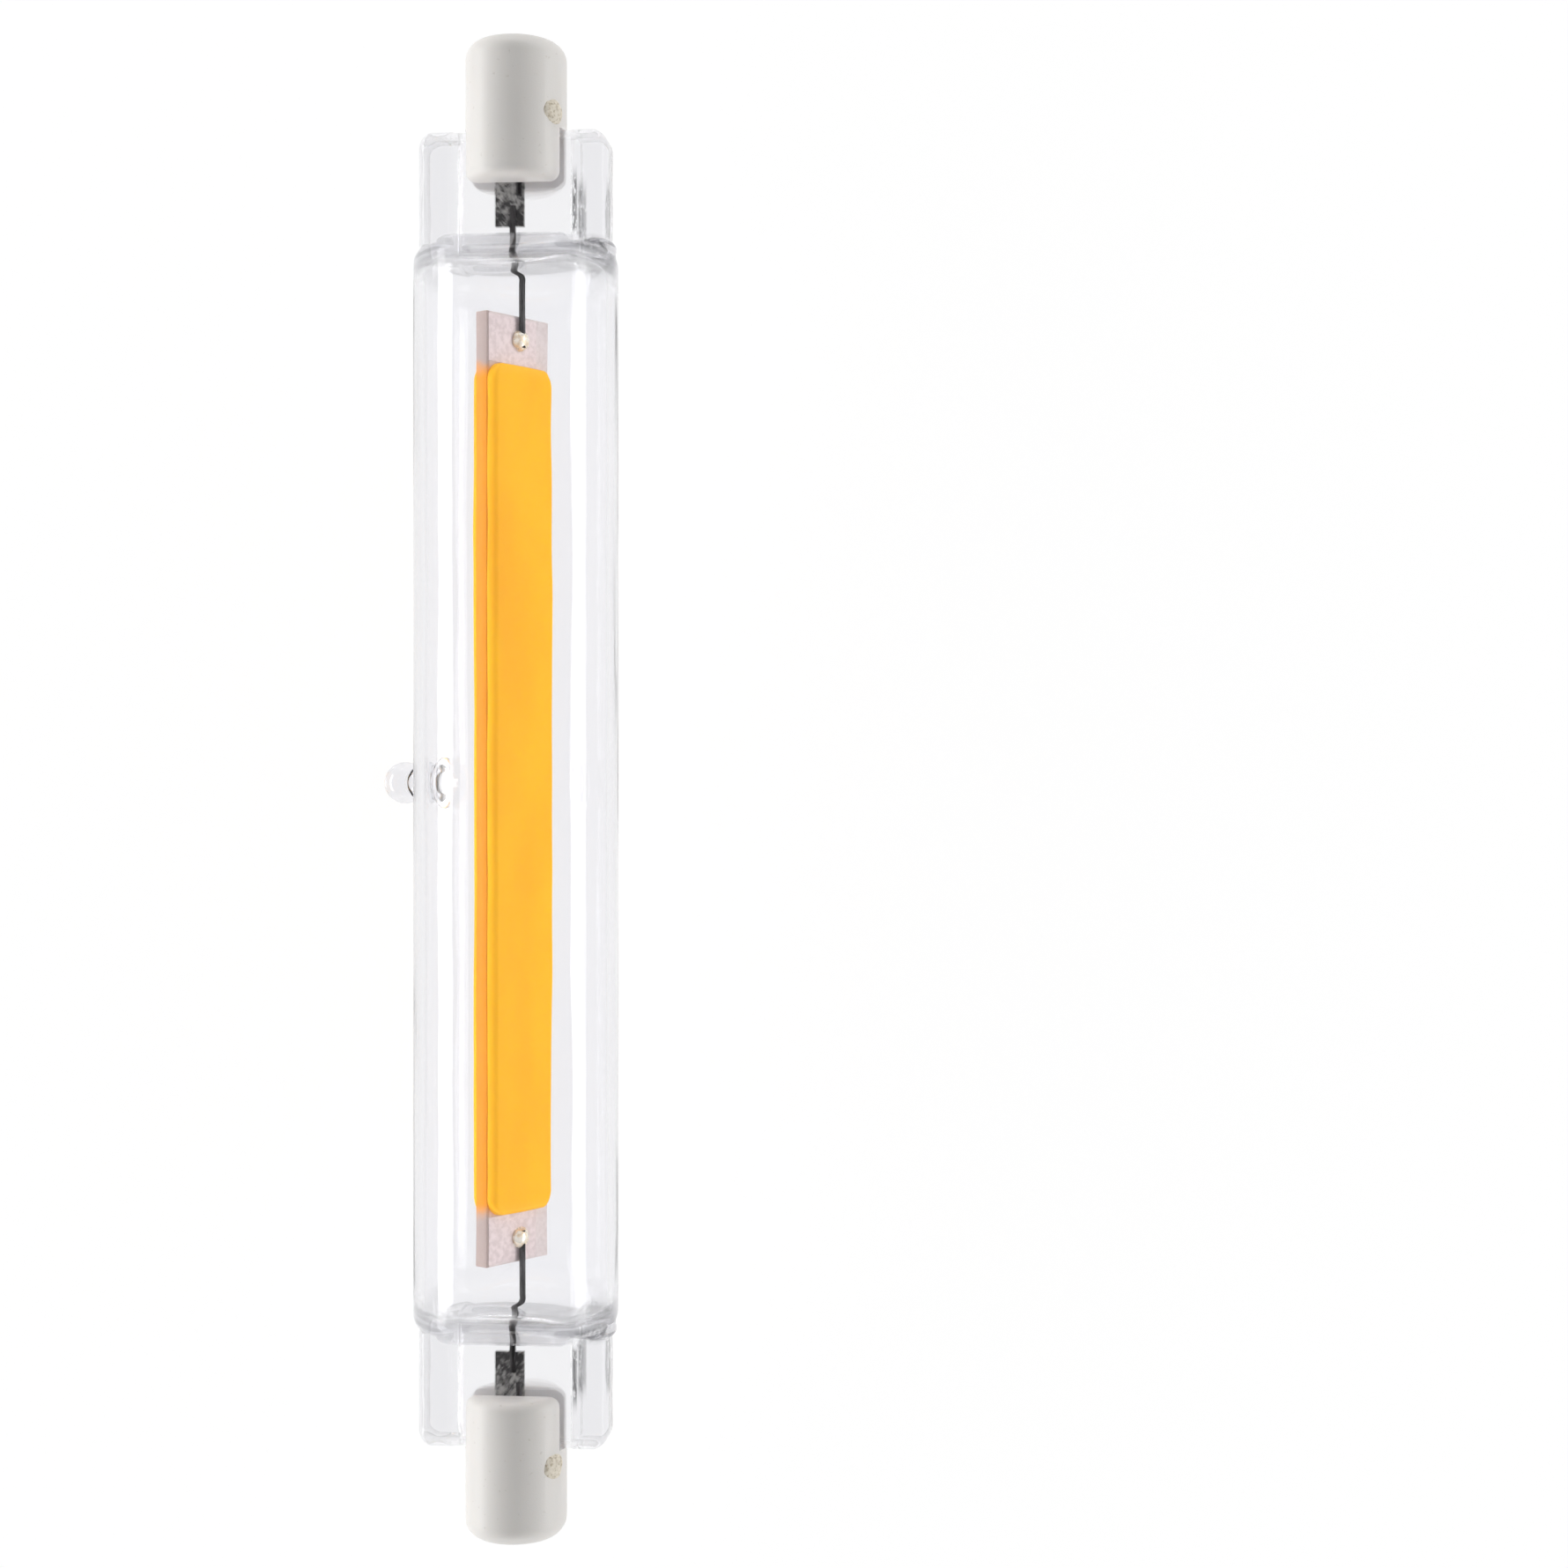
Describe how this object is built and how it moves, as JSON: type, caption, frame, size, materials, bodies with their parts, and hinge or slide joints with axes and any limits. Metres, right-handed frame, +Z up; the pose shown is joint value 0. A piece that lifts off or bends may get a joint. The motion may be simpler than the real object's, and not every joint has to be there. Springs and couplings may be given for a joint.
{
  "type": "linear led bulb",
  "caption": "Double-ended linear LED lamp: a clear glass tube with pressed ends and slotted ceramic caps, round a strip coated with phosphor gel.",
  "frame": {"origin": "on the lamp's axis, midway between its two ends, which is its centre of mass to within half a millimetre", "axes": "+Y along the lamp towards its upper end in the picture, +Z up from the surface it lies on, +X to the side away from the exhaust tip"},
  "size_m": [0.0197, 0.118, 0.0162],
  "materials": {
    "clear_glass": "clear, smooth, with a faint cool tint",
    "substrate_ceramic": "translucent pale ceramic, matt",
    "phosphor_gel": "yellow-orange silicone gel with phosphor, satin",
    "led_die": "polished semiconductor",
    "driver_chip": "dark moulded chip",
    "printed_silver": "matt printed silver",
    "solder": "bright, slightly creamy with flux",
    "lead_wire": "dark drawn molybdenum wire",
    "molybdenum_foil": "mottled dark foil, oxidised in patches",
    "cap_cement": "cream cement, grainy",
    "nickel": "nickel plate, satin",
    "cap_ceramic": "white unglazed steatite, smooth and matt"
  },
  "bodies": {
    "root": {"glass_envelope": "clear_glass", "led_substrate": "substrate_ceramic", "phosphor_front": "phosphor_gel", "phosphor_rear": "phosphor_gel", "led_dies_front": "led_die", "led_dies_rear": "led_die", "current_driver_dies": "driver_chip", "rectifier_bridge": "driver_chip", "conductor_tracks": "printed_silver", "upper_terminal_pad": "printed_silver", "upper_solder_joint": "solder", "upper_inner_lead": "lead_wire", "upper_foil": "molybdenum_foil", "upper_outer_lead": "lead_wire", "upper_cement": "cap_cement", "upper_contact": "nickel", "upper_ceramic_cap": "cap_ceramic", "lower_terminal_pad": "printed_silver", "lower_solder_joint": "solder", "lower_inner_lead": "lead_wire", "lower_foil": "molybdenum_foil", "lower_outer_lead": "lead_wire", "lower_cement": "cap_cement", "lower_contact": "nickel", "lower_ceramic_cap": "cap_ceramic"}
  },
  "joints": []
}
